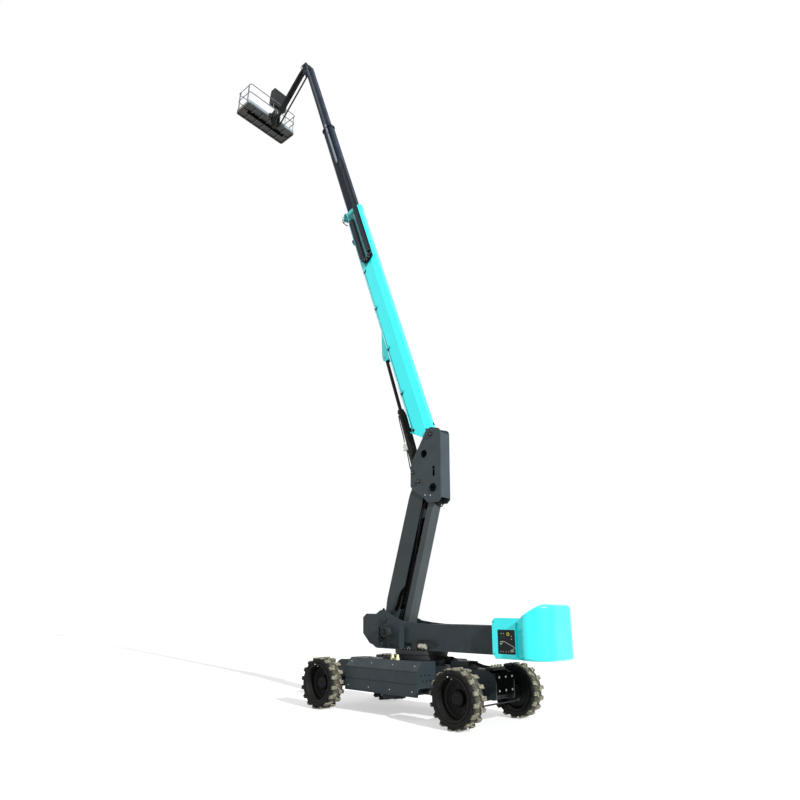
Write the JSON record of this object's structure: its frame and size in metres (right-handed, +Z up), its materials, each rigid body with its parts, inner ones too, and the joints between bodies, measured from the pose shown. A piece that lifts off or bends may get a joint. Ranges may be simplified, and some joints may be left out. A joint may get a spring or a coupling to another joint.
{
  "type": "articulating boom lift with telescopic boom",
  "caption": "Self-propelled work platform on four lugged wheels, with a slewing turntable, parallelogram riser, telescopic main boom, jib and railed platform.",
  "frame": {"origin": "on the floor under the middle of the whole length and width, the middle of the bounding box in plan", "axes": "+X the way the platform points, +Y the side with the ground control panel, +Z up"},
  "size_m": [13.335, 2.698, 24.7701],
  "materials": {
    "black_steel": "satin black paint",
    "cast": "grey",
    "chain": "black moulded nylon",
    "chrome": "polished",
    "cyan": "gloss turquoise paint",
    "grey": "satin dark grey paint",
    "panel": "moulded black",
    "rail": "satin light grey paint",
    "steel": "machined",
    "tyre": "foam filled rough-terrain tyre"
  },
  "bodies": {
    "chassis": {"chassis_frame": "grey", "battery_boxes": "grey", "front_axle": "grey", "rear_axle": "grey", "slew_ring_gear": "cast"},
    "turntable": {"slew_ring_race": "cast", "turntable_frame": "grey", "slew_drive": "steel", "counterweight": "cyan", "side_covers": "cyan", "control_panel": "panel"},
    "riser_arm": {"riser_arm": "grey"},
    "riser_link": {"riser_link": "grey"},
    "riser_ram_barrel": {"riser_ram_barrel": "black_steel"},
    "riser_ram_rod": {"riser_ram_rod": "chrome"},
    "upright": {"upright": "grey"},
    "boom_base": {"boom_base": "cyan", "chain_carrier": "cyan", "energy_chain_fixed": "chain"},
    "boom_mid": {"boom_mid": "grey", "energy_chain_moving": "chain", "hose_tube": "rail"},
    "boom_fly": {"boom_fly": "grey", "fly_hose_tube": "rail"},
    "lift_ram_barrel": {"lift_ram_barrel": "black_steel"},
    "lift_ram_rod": {"lift_ram_rod": "chrome"},
    "jib_bracket": {"jib_bracket": "black_steel"},
    "jib_arm": {"jib_arm": "black_steel"},
    "jib_link": {"jib_link": "black_steel"},
    "jib_ram_barrel": {"jib_ram_barrel": "black_steel"},
    "jib_ram_rod": {"jib_ram_rod": "chrome"},
    "platform_support": {"platform_support": "grey"},
    "platform": {"platform_mount": "grey", "platform_floor": "black_steel", "kick_plate": "rail", "platform_rails": "rail", "platform_console": "panel"},
    "platform_gate": {"platform_gate": "rail"},
    "wheel_front_left": {"tyre_front_left": "tyre", "rim_front_left": "black_steel"},
    "wheel_front_right": {"tyre_front_right": "tyre", "rim_front_right": "black_steel"},
    "rear_knuckle_left": {"rear_knuckle_left": "black_steel"},
    "wheel_rear_left": {"tyre_rear_left": "tyre", "rim_rear_left": "black_steel"},
    "rear_knuckle_right": {"rear_knuckle_right": "black_steel"},
    "wheel_rear_right": {"tyre_rear_right": "tyre", "rim_rear_right": "black_steel"},
    "rear_tie_rod": {"rear_tie_rod": "black_steel"}
  },
  "joints": [
    {"name": "slew", "type": "hinge", "parent": "chassis", "child": "turntable", "pos_m": [-2.93749, 0, 1.29], "axis": [0, 0, 1], "continuous": true},
    {"name": "riser_lower", "type": "hinge", "parent": "turntable", "child": "riser_arm", "pos_m": [-2.04748, 0, 2.02], "axis": [0, -1, 0], "range_deg": [0, 52]},
    {"name": "riser_link_swing", "type": "hinge", "parent": "turntable", "child": "riser_link", "pos_m": [-2.51749, 0, 1.81], "axis": [0, -1, 0], "range_deg": [0, 52.52]},
    {"name": "riser_ram_swing", "type": "hinge", "parent": "turntable", "child": "riser_ram_barrel", "pos_m": [-2.28749, 0, 1.715], "axis": [0, -1, 0], "range_deg": [0, 51.29]},
    {"name": "riser_ram_stroke", "type": "slide", "parent": "riser_ram_barrel", "child": "riser_ram_rod", "axis": [-0.2806, 0, 0.9598], "range_m": [-0.3393, 0]},
    {"name": "upright_level", "type": "hinge", "parent": "riser_arm", "child": "upright", "pos_m": [-3.00748, 0, 5.39], "axis": [0, -1, 0], "range_deg": [-52.52, 0]},
    {"name": "boom_lower", "type": "hinge", "parent": "upright", "child": "boom_base", "pos_m": [-3.40748, 0, 6.59], "axis": [0, 1, 0], "range_deg": [0, 70]},
    {"name": "lift_ram_swing", "type": "hinge", "parent": "upright", "child": "lift_ram_barrel", "pos_m": [-2.81749, 0, 5.64], "axis": [0, 1, 0], "range_deg": [0, 68.36]},
    {"name": "lift_ram_stroke", "type": "slide", "parent": "lift_ram_barrel", "child": "lift_ram_rod", "axis": [0.3178, 0, 0.9481], "range_m": [-1.2904, 0]},
    {"name": "telescope_mid", "type": "slide", "parent": "boom_base", "child": "boom_mid", "axis": [-0.342, 0, -0.9397], "range_m": [0, 4.2]},
    {"name": "telescope_fly", "type": "slide", "parent": "boom_mid", "child": "boom_fly", "axis": [-0.342, 0, -0.9397], "range_m": [0, 4.221]},
    {"name": "jib_bracket_level", "type": "hinge", "parent": "boom_fly", "child": "jib_bracket", "pos_m": [3.52285, 0, 24.41464], "axis": [0, 1, 0], "range_deg": [-70.7, 0]},
    {"name": "jib_raise", "type": "hinge", "parent": "jib_bracket", "child": "jib_arm", "pos_m": [3.52285, 0, 24.41464], "axis": [0, -1, 0], "range_deg": [0, 92]},
    {"name": "jib_link_swing", "type": "hinge", "parent": "jib_bracket", "child": "jib_link", "pos_m": [3.52285, 0, 23.96464], "axis": [0, -1, 0], "range_deg": [0, 92.92]},
    {"name": "jib_ram_swing", "type": "hinge", "parent": "jib_bracket", "child": "jib_ram_barrel", "pos_m": [3.52285, 0, 24.11464], "axis": [0, -1, 0], "range_deg": [0, 90.6]},
    {"name": "jib_ram_stroke", "type": "slide", "parent": "jib_ram_barrel", "child": "jib_ram_rod", "axis": [0.7925, 0, -0.6098], "range_m": [0, 0.4335]},
    {"name": "platform_level", "type": "hinge", "parent": "jib_arm", "child": "platform_support", "pos_m": [5.28948, 0, 22.79014], "axis": [0, -1, 0], "range_deg": [-92.92, 0]},
    {"name": "platform_turn", "type": "hinge", "parent": "platform_support", "child": "platform", "pos_m": [5.52248, 0, 22.79014], "axis": [0, 0, 1], "range_deg": [-70, 70]},
    {"name": "gate_open", "type": "hinge", "parent": "platform", "child": "platform_gate", "pos_m": [5.88248, 1.2267, 23.46014], "axis": [0, 0, -1], "range_deg": [0, 80]},
    {"name": "spin_front_left", "type": "hinge", "parent": "chassis", "child": "wheel_front_left", "pos_m": [-0.75448, 1.143, 0.575], "axis": [0, 1, 0], "continuous": true},
    {"name": "spin_front_right", "type": "hinge", "parent": "chassis", "child": "wheel_front_right", "pos_m": [-0.75448, -1.143, 0.575], "axis": [0, 1, 0], "continuous": true},
    {"name": "steer_rear_left", "type": "hinge", "parent": "chassis", "child": "rear_knuckle_left", "pos_m": [-4.82048, 0.76, 0.575], "axis": [0, 0, 1], "range_deg": [-25, 25]},
    {"name": "spin_rear_left", "type": "hinge", "parent": "rear_knuckle_left", "child": "wheel_rear_left", "pos_m": [-4.82048, 1.143, 0.575], "axis": [0, 1, 0], "continuous": true},
    {"name": "steer_rear_right", "type": "hinge", "parent": "chassis", "child": "rear_knuckle_right", "pos_m": [-4.82048, -0.76, 0.575], "axis": [0, 0, 1], "range_deg": [-25.3, 25.3]},
    {"name": "spin_rear_right", "type": "hinge", "parent": "rear_knuckle_right", "child": "wheel_rear_right", "pos_m": [-4.82048, -1.143, 0.575], "axis": [0, 1, 0], "continuous": true},
    {"name": "rear_tie_rod_slide", "type": "slide", "parent": "chassis", "child": "rear_tie_rod", "axis": [0, 1, 0], "range_m": [-0.115, 0.115]}
  ],
  "couplings": [
    {"joint": "riser_link_swing", "follows": "riser_lower", "ratio": 1},
    {"joint": "riser_ram_swing", "follows": "riser_lower", "ratio": 0.97657},
    {"joint": "riser_ram_stroke", "follows": "riser_lower", "m_per_rad": -0.36912},
    {"joint": "upright_level", "follows": "riser_lower", "ratio": -1},
    {"joint": "lift_ram_swing", "follows": "boom_lower", "ratio": 0.96695},
    {"joint": "lift_ram_stroke", "follows": "boom_lower", "m_per_rad": -1.0449},
    {"joint": "jib_bracket_level", "follows": "boom_lower", "ratio": -1},
    {"joint": "telescope_fly", "follows": "telescope_mid", "ratio": 1},
    {"joint": "jib_link_swing", "follows": "jib_raise", "ratio": 1},
    {"joint": "jib_ram_swing", "follows": "jib_raise", "ratio": 0.97506},
    {"joint": "jib_ram_stroke", "follows": "jib_raise", "m_per_rad": 0.26668},
    {"joint": "platform_level", "follows": "jib_raise", "ratio": -1},
    {"joint": "steer_rear_right", "follows": "steer_rear_left", "ratio": 1},
    {"joint": "rear_tie_rod_slide", "follows": "steer_rear_left", "m_per_rad": -0.25}
  ]
}
